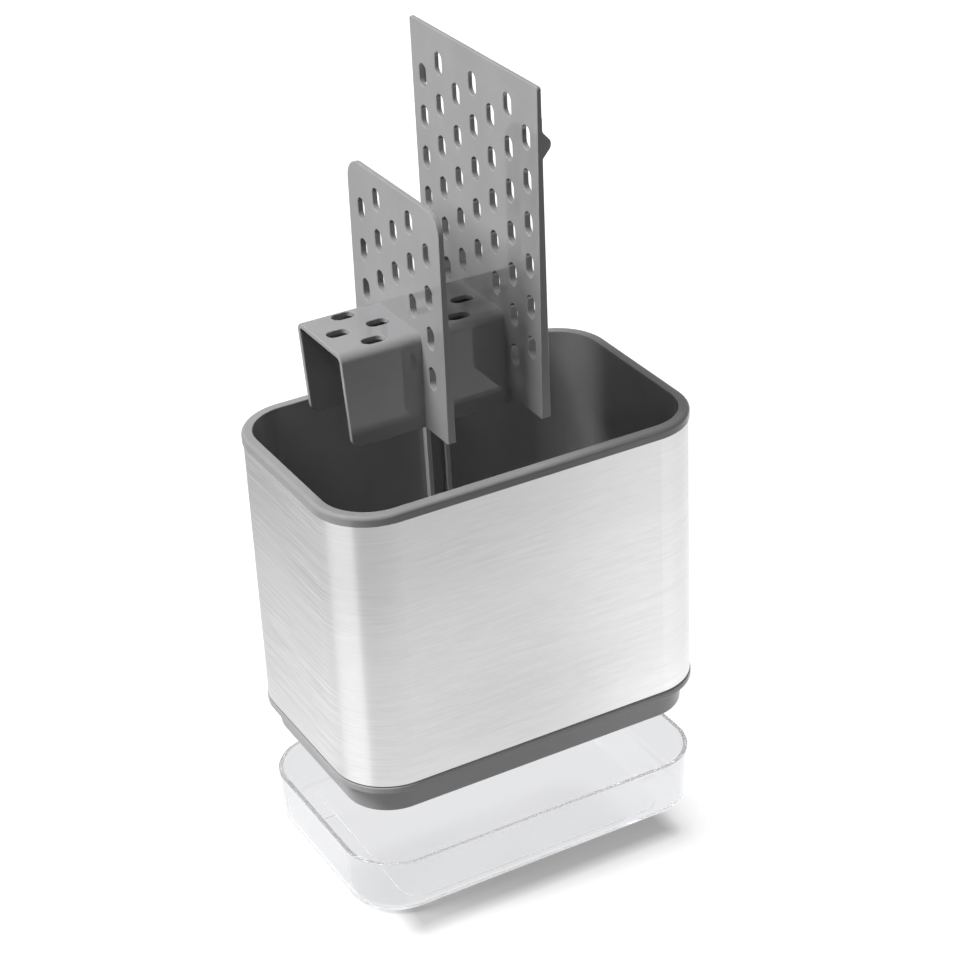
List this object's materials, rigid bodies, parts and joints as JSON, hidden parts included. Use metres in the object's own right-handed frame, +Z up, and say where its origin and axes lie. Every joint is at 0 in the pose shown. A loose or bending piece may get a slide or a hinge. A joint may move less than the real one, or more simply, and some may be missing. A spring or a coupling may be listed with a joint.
{
  "type": "kitchen sink caddy",
  "caption": "Kitchen sink caddy: brushed steel sleeve round a grey tub, with a slotted lift-out divider for sponges and brushes and a clear drip tray underneath.",
  "frame": {"origin": "under the middle of the drip tray, on the surface that the tray stands on", "axes": "+Z up, +X along the long side, the front faces -Y"},
  "size_m": [0.1712, 0.111, 0.3511],
  "materials": {
    "clear_plastic": "clear, glossy",
    "grey_plastic": "satin",
    "liner_plastic": "satin",
    "brushed_steel": "brushed along the long sides",
    "divider_plastic": "satin"
  },
  "bodies": {
    "tray": {"drip_tray": "clear_plastic"},
    "caddy": {"base_ring": "grey_plastic", "drain_floor": "liner_plastic", "tub_liner": "liner_plastic", "steel_sleeve": "brushed_steel"},
    "divider": {"tall_plate": "divider_plastic", "short_plate": "divider_plastic", "bridge_channel": "divider_plastic", "shelf_channel": "divider_plastic"}
  },
  "joints": [
    {"name": "caddy_lift", "type": "slide", "parent": "tray", "child": "caddy", "axis": [0, 0, 1], "range_m": [-0.037, 0]},
    {"name": "divider_lift", "type": "slide", "parent": "caddy", "child": "divider", "axis": [0, 0, 1], "range_m": [-0.1397, 0]}
  ]
}
